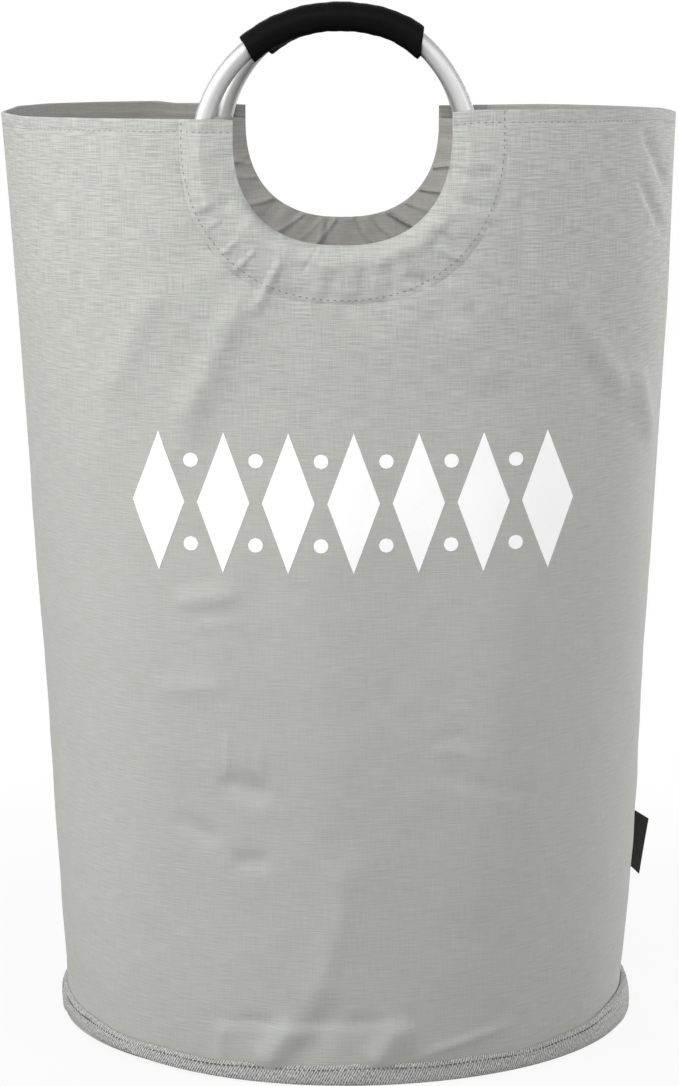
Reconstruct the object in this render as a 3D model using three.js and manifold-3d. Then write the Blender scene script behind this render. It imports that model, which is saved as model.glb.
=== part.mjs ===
// Freestanding fabric laundry hamper with two ring handles in sewn sleeves.
// Millimetres, +Z up, the front faces -Y, and the origin is on the floor under the middle of the base.
// The cloth wall is a round tube at the floor and a flatter lens at the mouth. Its lower part folds down,
// the top carries a U-shaped sleeve on each side, and each sleeve holds one bent tube ring with a foam grip.
import * as THREE from "three";
import { mergeVertices } from "three/addons/utils/BufferGeometryUtils.js";
import Module from "manifold-3d";

const wasm = await Module();
wasm.setup();

// Cloth and clearances
const clothThickness = 1.2;
const seamGap = 0.3; // between pieces that lie on each other
const tiltGap = 0.8; // round a sleeve, so that it can tilt in the wall
const cutOverrun = 30; // how far a cutting body runs past what it cuts

// Bag
const bodyHeight = 610; // floor to rim
const baseRadius = 192; // outside of the cloth at the base
const mouthHalfWidth = 224;
const mouthHalfDepth = 146;
const topLean = THREE.MathUtils.degToRad(6); // the sleeves lean in towards each other
const baseCorner = THREE.MathUtils.degToRad(90); // the wall's section is round at the base
const mouthCorner = THREE.MathUtils.degToRad(72); // and has a soft corner at each side seam at the mouth
const baseFullness = 1;
const mouthFullness = 1.8; // over 1 flattens the section between its corners
const hemHeight = 14; // folded band along the rim
const foldBand = 15.5; // cloth between the folding wall and the foot of the sleeves

// Handle sleeve: a U round the hand cut-out
const uSquareness = 2.4; // 2 is an ellipse, more fills the corners of the U
const cutoutRadius = 68.5;
const cutoutDrop = 10.6; // centre of the cut-out below the rim, along the leaning wall
const sleeveWidth = 33; // cut-out edge to stitch line at the sides
const sleeveDepth = 36; // cut-out edge to stitch line at the bottom
const liningDrop = 9; // the lining of the sleeve starts this far below the rim

// Ring handle
const tubeRadius = 6;
const tubeWall = 1.2;
const sleeveEase = 1; // slack of the sleeve round the tube
const ringRadius = 84.5; // centre line of the tube
const ringRest = 3.6; // between the tube and the foot of the stitch line
const tubeJointGap = 0.6; // the tube's two ends meet under the grip
const plugLength = 36;
const gripLength = 117;
const gripWall = 2.95;
const frontSlip = -4.4; // each ring lies a little to one side in its sleeve, seen from its own side
const backSlip = -0.6;
const frontTurn = THREE.MathUtils.degToRad(-1.2); // and has turned a little
const backTurn = THREE.MathUtils.degToRad(1.7);

// Base
const bindingHeight = 13;
const bindingLip = 4.5; // folded tape outside the wall
const bindingInnerLip = 2.4; // and inside it
const bindingFoot = 1.8; // tape under the cloth edges
const baseTurnUp = 24; // the base cloth comes up from the floor to the wall over this width
const boardThickness = 2;
const boardInset = 5; // board edge inside the flat of the base cloth

// Side seams and label
const seamFinDepth = 10; // taped seam allowance inside the bag
const seamFinThickness = 3;
const labelHeight = 97; // underside of the label above the floor
const labelLength = 39;
const labelWidth = 9.5;
const labelThickness = 1.6;
const labelSkew = 5; // the outer edge of the label hangs lower than the sewn edge

// Facet counts
const wallSegments = 28;
const wallLevels = 4;
const topLevels = 4;
const sleeveSideSteps = 3;
const sleeveArcSteps = 20;
const sleeveAcrossSteps = 4; // on each side of the tube
const ringSteps = 48;
const gripSteps = 16;
const tubeSides = 10;

// Sizes that follow from these
const sleeveHeight = cutoutRadius + sleeveDepth + cutoutDrop; // foot of the sleeve to the rim, along the wall
const cutoutCentre = sleeveDepth + cutoutRadius; // above the foot
const footHeight = bodyHeight - sleeveHeight * Math.cos(topLean);
const footHalfDepth = mouthHalfDepth + sleeveHeight * Math.sin(topLean);
const foldHeight = footHeight - foldBand; // the wall folds below this
const ringCentre = ringRest + tubeRadius + ringRadius; // above the foot of the sleeve
const layerOffset = clothThickness + seamGap / 2; // outside of the wall to between a sleeve's two layers
const restRadius = baseRadius - baseTurnUp; // the base cloth lies flat on the floor inside this
const frontHandle = { slip: frontSlip, turn: frontTurn };
const backHandle = { slip: backSlip, turn: backTurn };

const roundSegments = 2 * wallSegments; // the base's facets match the wall's

const { lerp, clamp } = THREE.MathUtils;

// Materials
const cloth = new THREE.MeshStandardMaterial({ color: 0xb4b5b0, roughness: 0.85, metalness: 0 });
const lining = new THREE.MeshStandardMaterial({ color: 0x9b9790, roughness: 0.75, metalness: 0 });
const tape = new THREE.MeshStandardMaterial({ color: 0xa3a3a1, roughness: 0.9, metalness: 0 });
const board = new THREE.MeshStandardMaterial({ color: 0x8f8d88, roughness: 0.7, metalness: 0 });
const aluminium = new THREE.MeshStandardMaterial({ color: 0xd9dadb, roughness: 0.3, metalness: 1 });
const foam = new THREE.MeshStandardMaterial({ color: 0x151515, roughness: 0.8, metalness: 0 });
const labelCloth = new THREE.MeshStandardMaterial({ color: 0x2c2c2b, roughness: 0.8, metalness: 0 });

// Shape of the wall's section at a height: half sizes, corner angle and fullness.
function wallSection(z) {
  const rise = clamp((z - bindingHeight) / (bodyHeight - bindingHeight), 0, 1);
  const toFoot = clamp((z - bindingHeight) / (footHeight - bindingHeight), 0, 1);
  const toRim = clamp((z - footHeight) / (bodyHeight - footHeight), 0, 1);
  return {
    halfWidth: lerp(baseRadius, mouthHalfWidth, rise),
    halfDepth: lerp(lerp(baseRadius, footHalfDepth, toFoot), mouthHalfDepth, toRim),
    corner: lerp(baseCorner, mouthCorner, rise),
    fullness: lerp(baseFullness, mouthFullness, rise),
  };
}

// How deep the front half of a section is at an angle, as a share of its half depth: 1 in the middle, 0 at the seams.
function depthShare(section, angle) {
  const arc = (Math.cos(angle) - Math.cos(section.corner)) / (1 - Math.cos(section.corner));
  return 1 - (1 - arc) ** section.fullness;
}

// Point of the front half, share -1 at the left seam to 1 at the right seam, inset from the outside of the wall.
function wallPoint(z, share, inset) {
  const section = wallSection(z);
  const angle = share * section.corner;
  const x = ((section.halfWidth - inset) * Math.sin(angle)) / Math.sin(section.corner);
  const y = -(section.halfDepth - inset) * depthShare(section, angle);
  return new THREE.Vector3(x, y - seamGap / 2, z);
}

// How far the wall falls back behind its middle at distance x from the middle.
function fallBack(x, z) {
  const section = wallSection(z);
  const sine = clamp((Math.abs(x) / section.halfWidth) * Math.sin(section.corner), 0, 1);
  return section.halfDepth * (1 - depthShare(section, Math.asin(sine)));
}

// Closed solid between two matching grids of points. wrap joins the last column to the first.
function shellSolid(outer, inner, wrap = false) {
  const rows = outer.length;
  const columns = outer[0].length;
  const positions = [...outer.flat(), ...inner.flat()].flatMap((p) => [p.x, p.y, p.z]);
  const onOuter = (i, j) => i * columns + (j % columns);
  const onInner = (i, j) => rows * columns + onOuter(i, j);
  const index = [];
  const quad = (a, b, c, d) => index.push(a, b, c, a, c, d);
  const spans = wrap ? columns : columns - 1;
  for (let j = 0; j < spans; j++) {
    for (let i = 0; i < rows - 1; i++) {
      quad(onOuter(i, j), onOuter(i, j + 1), onOuter(i + 1, j + 1), onOuter(i + 1, j));
      quad(onInner(i, j), onInner(i + 1, j), onInner(i + 1, j + 1), onInner(i, j + 1));
    }
    const last = rows - 1;
    quad(onInner(0, j), onInner(0, j + 1), onOuter(0, j + 1), onOuter(0, j));
    quad(onOuter(last, j), onOuter(last, j + 1), onInner(last, j + 1), onInner(last, j));
  }
  if (!wrap) {
    const last = columns - 1;
    for (let i = 0; i < rows - 1; i++) {
      quad(onOuter(i, 0), onOuter(i + 1, 0), onInner(i + 1, 0), onInner(i, 0));
      quad(onInner(i, last), onInner(i + 1, last), onOuter(i + 1, last), onOuter(i, last));
    }
  }
  const geometry = new THREE.BufferGeometry();
  geometry.setAttribute("position", new THREE.Float32BufferAttribute(positions, 3));
  geometry.setIndex(index);
  return facingOut(geometry);
}

// Turns every face round if the solid is inside out.
function facingOut(geometry) {
  const position = geometry.getAttribute("position");
  const index = geometry.getIndex().array;
  const corner = (k) => new THREE.Vector3().fromBufferAttribute(position, index[k]);
  let volume = 0;
  for (let k = 0; k < index.length; k += 3) volume += corner(k).dot(corner(k + 1).cross(corner(k + 2)));
  if (volume < 0) geometry.setIndex([...index].reverse());
  geometry.computeVertexNormals();
  return geometry;
}

function toManifold(geometry) {
  const bare = new THREE.BufferGeometry();
  bare.setAttribute("position", geometry.getAttribute("position"));
  if (geometry.getIndex()) bare.setIndex(geometry.getIndex());
  const merged = mergeVertices(bare);
  return new wasm.Manifold(
    new wasm.Mesh({
      numProp: 3,
      vertProperties: merged.attributes.position.array,
      triVerts: new Uint32Array(merged.index.array),
    }),
  );
}

function fromManifold(solid) {
  const mesh = solid.getMesh();
  const geometry = new THREE.BufferGeometry();
  geometry.setAttribute("position", new THREE.BufferAttribute(mesh.vertProperties, 3));
  geometry.setIndex(new THREE.BufferAttribute(mesh.triVerts, 1));
  geometry.computeVertexNormals();
  return geometry;
}

function part(name, geometry, material) {
  const mesh = new THREE.Mesh(geometry, material);
  mesh.name = name;
  return mesh;
}

const steps = (count) => Array.from({ length: count + 1 }, (_, i) => i / count);

// Half of the cloth tube between given heights, one row of points for each. thicknesses go with the heights.
function halfWall(heights, thicknesses) {
  const shares = steps(wallSegments).map((s) => 2 * s - 1);
  const outer = heights.map((z) => shares.map((share) => wallPoint(z, share, 0)));
  const inner = heights.map((z, i) => shares.map((share) => wallPoint(z, share, thicknesses[i])));
  return shellSolid(outer, inner);
}

// Lower half wall: its bottom edge stands in the base binding and its top edge meets the top half.
function foldingWall() {
  const low = bindingFoot + seamGap;
  const high = foldHeight - seamGap;
  const heights = [low, ...steps(wallLevels).map((s) => lerp(bindingHeight, high, s))];
  return halfWall(heights, heights.map(() => clothThickness));
}

// Top half wall with its folded hem, open where the sleeve is sewn in.
function topWall() {
  const hemFoot = bodyHeight - hemHeight;
  const hemThickness = 2 * clothThickness + seamGap;
  const heights = [...steps(topLevels).map((s) => lerp(foldHeight, hemFoot, s)), hemFoot + seamGap, bodyHeight];
  const thicknesses = heights.map((z) => (z > hemFoot ? hemThickness : clothThickness));
  const outline = sleeveOutline(sleeveHeight + cutOverrun, tiltGap);
  const cutter = new THREE.ExtrudeGeometry(outline, { depth: mouthHalfDepth, bevelEnabled: false });
  cutter.rotateX(Math.PI / 2);
  cutter.translate(0, mouthHalfDepth - cutOverrun, 0);
  onSleevePlane(cutter);
  return fromManifold(toManifold(halfWall(heights, thicknesses)).subtract(toManifold(cutter)));
}

// Point of the round foot of a U, share 0 to 1 from its left side to its right side.
// Like all of the sleeve it lies in the plane of the leaning wall, with the foot of the sleeve at the origin.
function footOfU(halfWidth, depth, share) {
  const angle = Math.PI * share;
  const power = 2 / uSquareness;
  const x = -Math.sign(Math.cos(angle)) * Math.abs(Math.cos(angle)) ** power;
  return new THREE.Vector2(halfWidth * x, cutoutCentre - depth * Math.sin(angle) ** power);
}

// The U of the stitch line, widened by a gap and open at the top.
function sleeveOutline(top, gap) {
  const halfWidth = cutoutRadius + sleeveWidth + gap;
  const depth = cutoutRadius + sleeveDepth + gap;
  const foot = steps(sleeveArcSteps).map((s) => footOfU(halfWidth, depth, s));
  return new THREE.Shape([new THREE.Vector2(-halfWidth, top), ...foot, new THREE.Vector2(halfWidth, top)]);
}

// Stations along the U from one mouth of the sleeve to the other: the cut-out edge and the stitch line at each.
function sleeveStations(top) {
  const side = (sign, v) => ({
    edge: new THREE.Vector2(sign * cutoutRadius, v),
    stitch: new THREE.Vector2(sign * (cutoutRadius + sleeveWidth), v),
  });
  const heights = steps(sleeveSideSteps).slice(0, -1).map((s) => lerp(top, cutoutCentre, s));
  const foot = steps(sleeveArcSteps).map((s) => ({
    edge: footOfU(cutoutRadius, cutoutRadius, s),
    stitch: footOfU(cutoutRadius + sleeveWidth, cutoutRadius + sleeveDepth, s),
  }));
  return [...heights.map((v) => side(-1, v)), ...foot, ...heights.reverse().map((v) => side(1, v))];
}

// Height of cloth stretched over the tube between two edges, at distance d from the middle of the tube.
function drape(d, toEdge) {
  const radius = tubeRadius + sleeveEase;
  const reach = Math.max(toEdge, radius);
  const tangent = radius ** 2 / reach;
  if (d <= tangent) return Math.sqrt(radius ** 2 - d ** 2);
  const height = radius * Math.sqrt(Math.max(0, 1 - (radius / reach) ** 2));
  return (height * Math.max(0, reach - d)) / Math.max(reach - tangent, seamGap);
}

// Shares across the sleeve from the cut-out edge to the stitch line, closer together towards both edges.
function acrossShares(middle) {
  const quarter = steps(sleeveAcrossSteps).map((s) => Math.sin((s * Math.PI) / 2));
  const toEdge = quarter.map((q) => middle * (1 - q)).reverse();
  const toStitch = quarter.map((q) => middle + (1 - middle) * q);
  return [...toEdge, ...toStitch.slice(1)];
}

// One layer of the sleeve, side 1 outside the tube and -1 inside it. The layers lie on each other at both edges.
function sleeveLayer(side, handle) {
  const centre = new THREE.Vector2(handle.slip, ringCentre);
  const top = side > 0 ? sleeveHeight : sleeveHeight - liningDrop;
  const rows = sleeveStations(top).map(({ edge, stitch }) => {
    const width = edge.distanceTo(stitch);
    const near = tubeCrossing(edge, stitch, centre);
    return acrossShares(near).map((s) => {
      const p = edge.clone().lerp(stitch, s);
      const lift = drape(Math.abs(s - near) * width, (s < near ? near : 1 - near) * width);
      const towardsStitch = clamp((s - near) / (1 - near), 0, 1) ** 2;
      const back = fallBack(p.x, footHeight + p.y * Math.cos(topLean)) * towardsStitch;
      const onLayer = (offset) => new THREE.Vector3(p.x, back - side * (lift + offset), p.y);
      return [onLayer(seamGap / 2 + clothThickness), onLayer(seamGap / 2)];
    });
  });
  const layer = shellSolid(
    rows.map((row) => row.map((pair) => pair[0])),
    rows.map((row) => row.map((pair) => pair[1])),
  );
  return onSleevePlane(layer);
}

// Share of the way from the cut-out edge to the stitch line where the tube's centre line crosses.
function tubeCrossing(edge, stitch, centre) {
  const way = stitch.clone().sub(edge);
  const from = edge.clone().sub(centre);
  const a = way.lengthSq();
  const b = from.dot(way);
  const c = from.lengthSq() - ringRadius ** 2;
  return (Math.sqrt(b ** 2 - a * c) - b) / a;
}

// Circle of points round the tube's centre line at an angle from the top of the ring.
function ringSection(angle, radius) {
  const outward = new THREE.Vector3(Math.sin(angle), 0, Math.cos(angle));
  return steps(tubeSides).slice(0, -1).map((s) => {
    const turn = 2 * Math.PI * s;
    const point = outward.clone().multiplyScalar(ringRadius + radius * Math.cos(turn));
    point.y = radius * Math.sin(turn);
    return point;
  });
}

function ringPipe(from, to, count, outerRadius, innerRadius) {
  const angles = steps(count).map((s) => lerp(from, to, s));
  const grid = (radius) => angles.map((angle) => ringSection(angle, radius));
  return shellSolid(grid(outerRadius), grid(innerRadius), true);
}

function ringTube() {
  const gap = tubeJointGap / 2 / ringRadius;
  return ringPipe(gap, 2 * Math.PI - gap, ringSteps, tubeRadius, tubeRadius - tubeWall);
}

function gripSleeve() {
  const half = gripLength / 2 / ringRadius;
  const bore = tubeRadius + seamGap;
  return ringPipe(-half, half, gripSteps, bore + gripWall, bore);
}

// Solid dowel in the tube's two ends.
class RingArc extends THREE.Curve {
  constructor(half) {
    super();
    this.half = half;
  }
  getPoint(t, target = new THREE.Vector3()) {
    const angle = lerp(-this.half, this.half, t);
    return target.set(ringRadius * Math.sin(angle), 0, ringRadius * Math.cos(angle));
  }
}

function ringPlug() {
  const section = new THREE.Shape();
  section.absarc(0, 0, tubeRadius - tubeWall - 2 * seamGap, 0, 2 * Math.PI, false);
  return new THREE.ExtrudeGeometry(section, {
    extrudePath: new RingArc(plugLength / 2 / ringRadius),
    steps: gripSteps / 2,
    curveSegments: tubeSides,
    bevelEnabled: false,
  });
}

// Turned solid from points of radius and height.
function lathe(profile) {
  const points = profile.map(([radius, z]) => new THREE.Vector2(radius, z));
  const geometry = new THREE.LatheGeometry([...points, points[0]], roundSegments);
  geometry.rotateX(Math.PI / 2);
  geometry.deleteAttribute("normal");
  geometry.deleteAttribute("uv");
  return facingOut(mergeVertices(geometry));
}

// Base cloth: flat on the floor in the middle, up over the seam, and down into the binding.
function baseCloth() {
  const outside = baseRadius - clothThickness - seamGap;
  const inside = outside - clothThickness;
  const top = bindingHeight - clothThickness;
  const foot = bindingFoot + seamGap;
  return lathe([
    [0, 0],
    [restRadius, 0],
    [inside, top - clothThickness],
    [inside, foot],
    [outside, foot],
    [outside, top],
    [restRadius, clothThickness],
    [0, clothThickness],
  ]);
}

function baseBoard() {
  const low = clothThickness + seamGap;
  const radius = restRadius - boardInset;
  return lathe([
    [0, low],
    [radius, low],
    [radius, low + boardThickness],
    [0, low + boardThickness],
  ]);
}

// Folded tape that takes in the bottom edges of the wall and of the base cloth.
function baseBinding() {
  const outside = baseRadius + seamGap;
  const inside = baseRadius - 2 * (clothThickness + seamGap) - seamGap;
  const innerTop = bindingHeight - 2 * clothThickness - seamFinThickness;
  return lathe([
    [inside - bindingInnerLip, 0],
    [outside + bindingLip, 0],
    [outside + bindingLip, bindingHeight],
    [outside, bindingHeight],
    [outside, bindingFoot],
    [inside, bindingFoot],
    [inside, innerTop],
    [inside - bindingInnerLip, innerTop],
  ]);
}

// Taped allowance of the side seam, inside the bag between two heights. side 1 is the right seam, -1 the left.
function seamFin(side, low, high) {
  const column = (y) =>
    steps(1).map((s) => {
      const z = lerp(low, high, s);
      const outer = wallSection(z).halfWidth - clothThickness - 2 * seamGap;
      return [outer - seamFinDepth, outer].map((x) => new THREE.Vector3(side * x, y, z));
    });
  return shellSolid(column(-seamFinThickness / 2), column(seamFinThickness / 2));
}

// Blank loop of tape sewn into the right side seam.
function sideLabel() {
  const face = (y) =>
    steps(1).map((s) => {
      const z = labelHeight + s * labelLength;
      const sewn = wallSection(z).halfWidth + seamGap;
      return [new THREE.Vector3(sewn, y, z), new THREE.Vector3(sewn + labelWidth, y, z - labelSkew)];
    });
  return shellSolid(face(-labelThickness / 2), face(labelThickness / 2));
}

// Puts a piece made with its foot at the origin on the leaning top of the wall.
function onSleevePlane(geometry) {
  geometry.rotateX(-topLean);
  geometry.translate(0, layerOffset - footHalfDepth, footHeight);
  return geometry;
}

// Puts a piece made round the ring's centre into the sleeve, where that handle lies.
function inSleeve(geometry, handle) {
  geometry.rotateY(handle.turn);
  geometry.translate(handle.slip, 0, ringCentre);
  return onSleevePlane(geometry);
}

// A piece that the front and the back each have, made for the handle of its side. The back one is turned half round.
function frontAndBack(name, make, material) {
  const back = make(backHandle);
  back.rotateZ(Math.PI);
  return [part(`front_${name}`, make(frontHandle), material), part(`back_${name}`, back, material)];
}

const finLow = bindingHeight + seamGap;
const finSplit = foldHeight - seamGap;
const finTop = bodyHeight - hemHeight;

const hamper = new THREE.Group();
hamper.name = "laundry_hamper";
hamper.add(
  part("base_cloth", baseCloth(), cloth),
  part("base_board", baseBoard(), board),
  part("base_binding", baseBinding(), tape),
  ...frontAndBack("wall", foldingWall, cloth),
  ...frontAndBack("top_wall", topWall, cloth),
  part("left_seam_tape", seamFin(-1, finLow, finSplit), tape),
  part("right_seam_tape", seamFin(1, finLow, finSplit), tape),
  part("left_top_seam_tape", seamFin(-1, foldHeight, finTop), tape),
  part("right_top_seam_tape", seamFin(1, foldHeight, finTop), tape),
  part("side_label", sideLabel(), labelCloth),
  ...frontAndBack("sleeve", (handle) => sleeveLayer(1, handle), cloth),
  ...frontAndBack("sleeve_lining", (handle) => sleeveLayer(-1, handle), lining),
  ...frontAndBack("ring", (handle) => inSleeve(ringTube(), handle), aluminium),
  ...frontAndBack("ring_plug", (handle) => inSleeve(ringPlug(), handle), aluminium),
  ...frontAndBack("grip", (handle) => inSleeve(gripSleeve(), handle), foam),
);

export default hamper;
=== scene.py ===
"""Laundry hamper of cloth with two ring handles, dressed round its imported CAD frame.

Metres, +Z up, the front faces -Y. A piece of the back is made in the front's place and turned half round.
"""
import math

import bmesh
import bpy
import numpy as np
from mathutils import Euler, Matrix, Vector


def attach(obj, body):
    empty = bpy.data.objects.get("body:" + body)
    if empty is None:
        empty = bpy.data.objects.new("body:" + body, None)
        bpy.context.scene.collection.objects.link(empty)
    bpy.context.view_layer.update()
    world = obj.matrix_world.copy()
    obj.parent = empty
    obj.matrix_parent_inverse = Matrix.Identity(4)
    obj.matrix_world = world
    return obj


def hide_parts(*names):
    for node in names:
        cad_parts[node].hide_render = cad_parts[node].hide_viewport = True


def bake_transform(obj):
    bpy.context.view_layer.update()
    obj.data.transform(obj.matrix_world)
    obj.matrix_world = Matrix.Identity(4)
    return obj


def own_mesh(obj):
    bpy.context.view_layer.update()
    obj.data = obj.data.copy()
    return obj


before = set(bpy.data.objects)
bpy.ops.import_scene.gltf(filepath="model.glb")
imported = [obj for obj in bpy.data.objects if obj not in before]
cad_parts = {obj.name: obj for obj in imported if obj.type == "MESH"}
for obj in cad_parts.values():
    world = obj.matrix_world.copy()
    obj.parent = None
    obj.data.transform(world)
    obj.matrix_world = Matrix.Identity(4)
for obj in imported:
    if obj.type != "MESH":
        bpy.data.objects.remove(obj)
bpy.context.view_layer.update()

# Sizes, the same as in the part's source
CLOTH = 0.0012
SEAM_GAP = 0.0003
BODY_HEIGHT = 0.610
BASE_RADIUS = 0.192
MOUTH_HALF_WIDTH = 0.224
MOUTH_HALF_DEPTH = 0.146
TOP_LEAN = math.radians(6)
BASE_CORNER = math.radians(90)
MOUTH_CORNER = math.radians(72)
BASE_FULLNESS = 1.0
MOUTH_FULLNESS = 1.8
HEM_HEIGHT = 0.014
U_SQUARENESS = 2.4
CUTOUT_RADIUS = 0.0685
CUTOUT_DROP = 0.0106
SLEEVE_WIDTH = 0.033
SLEEVE_DEPTH = 0.036
LINING_DROP = 0.009
TUBE_RADIUS = 0.006
SLEEVE_EASE = 0.001
RING_RADIUS = 0.0845
RING_REST = 0.0036
GRIP_LENGTH = 0.117
GRIP_WALL = 0.00295
SLIP = {"front": -0.0044, "back": -0.0006}  # sideways in the sleeve, seen from that side
TURN = {"front": math.radians(-1.2), "back": math.radians(1.7)}
BINDING_HEIGHT = 0.013
REST_RADIUS = 0.168
SEAM_FIN_DEPTH = 0.010
SEAM_FIN_THICKNESS = 0.003
LABEL_HEIGHT = 0.097
LABEL_LENGTH = 0.039
LABEL_WIDTH = 0.0095
LABEL_SKEW = 0.005

SLEEVE_HEIGHT = CUTOUT_RADIUS + SLEEVE_DEPTH + CUTOUT_DROP
CUTOUT_CENTRE = SLEEVE_DEPTH + CUTOUT_RADIUS
FOOT_HEIGHT = BODY_HEIGHT - SLEEVE_HEIGHT * math.cos(TOP_LEAN)
FOOT_HALF_DEPTH = MOUTH_HALF_DEPTH + SLEEVE_HEIGHT * math.sin(TOP_LEAN)
RING_CENTRE = RING_REST + TUBE_RADIUS + RING_RADIUS
STITCH_HALF_WIDTH = CUTOUT_RADIUS + SLEEVE_WIDTH
STITCH_DEPTH = CUTOUT_RADIUS + SLEEVE_DEPTH
LAYER_OFFSET = CLOTH + SEAM_GAP / 2
CUTOUT_CENTRE_Z = FOOT_HEIGHT + CUTOUT_CENTRE * math.cos(TOP_LEAN)
HEM_START = BODY_HEIGHT - HEM_HEIGHT

# Sizes of the scene's own forms
HALF_GIRTH = 0.3  # side seam to middle, along the cloth
WAVE_HEIGHT = 0.0013  # broad unevenness of the walls
WAVE_LENGTH = 0.16
RIPPLE_HEIGHT = 0.0002  # fine unevenness of the walls
RIPPLE_LENGTH = 0.045
WAIST_DEPTH = 0.0012
SEAM_SINK = 0.0007  # how deep the side seams lie in the cloth
STITCH_SINK = 0.00045  # and the hem's stitches
TUCK = 0.008  # the top wall's cloth goes on behind the lower wall's by this much
STITCH_LINE_DROP = 0.0078  # hem stitches below the rim
EDGE_ROLL = 0.0115  # width of the rolled edge of the cut-out
EDGE_PADDING = 0.0090  # height of that edge over the sleeve's plane
EDGE_STAND = 0.0042  # how far the cut-out's sides stand out of that plane
SWELL_REACH = 0.085  # how far round a sleeve its ring pushes the wall out
SWELL_HEIGHT = 0.0040  # how far it does at the sleeve's edge
SWELL_RIGHT = 0.0050  # and further at the right of the front
SEAM_INSET = 0.0006  # stitches inside the sleeve's edge at its sides
SEAM_FOOT_INSET = 0.0026  # and at its foot
SEAM_SQUARENESS = 2.2
STITCH_LENGTH = 0.0026
STITCH_GAP = 0.0018
THREAD_RADIUS = 0.00026
RING_BUMP = {"front": 0.0024, "back": 0.0006}  # the bent tube is a little out of round at its right shoulder
PRINT_CENTRE = (0.007, 0.371)
PRINT_HALF_HEIGHT = 0.044
PRINT_PITCH = 0.041
PRINT_COUNT = 7
PRINT_HALF_WIDTH = 0.0165
PRINT_THICKNESS = 0.00022
DOT_RADIUS = 0.0045
DOT_HEIGHT_SHARES = (-0.6, 0.6)

# Mesh counts
HALF_COLUMNS = 150
WALL_ROWS = 140
U_STEPS = 280
SIDE_STEPS = 8
ACROSS_STEPS = 32
RING_STEPS = 144
TUBE_SIDES = 28
GRIP_SIDES = 48
GRIP_STEPS = 60
BINDING_STEPS = 480
DISC_STEPS = 240
FIN_SIDES = 14
FOOT_ROWS = 18
LABEL_STEPS = 15
LABEL_ROWS = 22
HEM_LINE_STEPS = 160
BINDING_LINE_STEPS = 720

# Camera, from a fit to the photograph's outline, rim and rings
PHOTO_HEIGHT = 1086  # pixels
FOCAL_LENGTH = 3471.5  # pixels
CAMERA_PLACE = (-0.0019, -2.3265, 0.6783)
CAMERA_PITCH = 0.1528  # below level, in radians
SENSOR_SIZE = 36
WHITE = (1, 1, 1, 1)

FRONT, BACK = "front", "back"
HANDS = {"left": -1, "right": 1}  # seen from that side
HALF_ROUND = np.array([-1, -1, 1])


# Shape of the cloth wall

def lerp(a, b, t):
    return a + (b - a) * t


def smooth(t):
    t = np.clip(t, 0, 1)
    return t * t * (3 - 2 * t)


def bell(t):
    return np.exp(-(t**2))


def stacked(*values):
    """Points from their coordinates."""
    return np.stack(np.broadcast_arrays(*values), axis=-1)


def way_up(z, low, high):
    return np.clip((z - low) / (high - low), 0, 1)


def wall_section(z):
    """Half width, half depth, corner angle and fullness of the wall's section at a height."""
    rise = way_up(z, BINDING_HEIGHT, BODY_HEIGHT)
    foot_depth = lerp(BASE_RADIUS, FOOT_HALF_DEPTH, way_up(z, BINDING_HEIGHT, FOOT_HEIGHT))
    return (
        lerp(BASE_RADIUS, MOUTH_HALF_WIDTH, rise),
        lerp(foot_depth, MOUTH_HALF_DEPTH, way_up(z, FOOT_HEIGHT, BODY_HEIGHT)),
        lerp(BASE_CORNER, MOUTH_CORNER, rise),
        lerp(BASE_FULLNESS, MOUTH_FULLNESS, rise),
    )


def plain_wall(share, z):
    """Outside of the uncreased front wall, share -1 at the left seam to 1 at the right seam."""
    half_width, half_depth, corner, fullness = wall_section(z)
    angle = share * corner
    arc = (np.cos(angle) - np.cos(corner)) / (1 - np.cos(corner))
    x = half_width * np.sin(angle) / np.sin(corner)
    y = -half_depth * (1 - (1 - np.clip(arc, 0, 1)) ** fullness)
    return x, y


def share_at(x, z):
    half_width, _, corner, _ = wall_section(z)
    sine = np.clip(x / half_width * np.sin(corner), -1, 1)
    return np.clip(np.arcsin(sine) / corner, -1, 1)


def wall_normal(share, z):
    """Level outward normal of the wall."""
    step = 1e-3
    x0, y0 = plain_wall(np.clip(share - step, -1, 1), z)
    x1, y1 = plain_wall(np.clip(share + step, -1, 1), z)
    dx, dy = x1 - x0, y1 - y0
    length = np.hypot(dx, dy)
    return dy / length, -dx / length


def below_centre(z):
    """Distance below the cut-out's centre, along the sleeve."""
    return np.clip((CUTOUT_CENTRE_Z - z) / math.cos(TOP_LEAN), 0, None)


def stitch_place(x, z):
    """Angle round the U of the sleeve's edge, 0 at its foot, and distance outside it."""
    down = below_centre(z)
    a, b = np.abs(x) / STITCH_HALF_WIDTH, down / STITCH_DEPTH
    reach = (a**U_SQUARENESS + b**U_SQUARENESS + 1e-12) ** (1 / U_SQUARENESS)
    return np.arctan2(x, down + 1e-9), (reach - 1) / reach * np.hypot(x, down)


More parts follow.
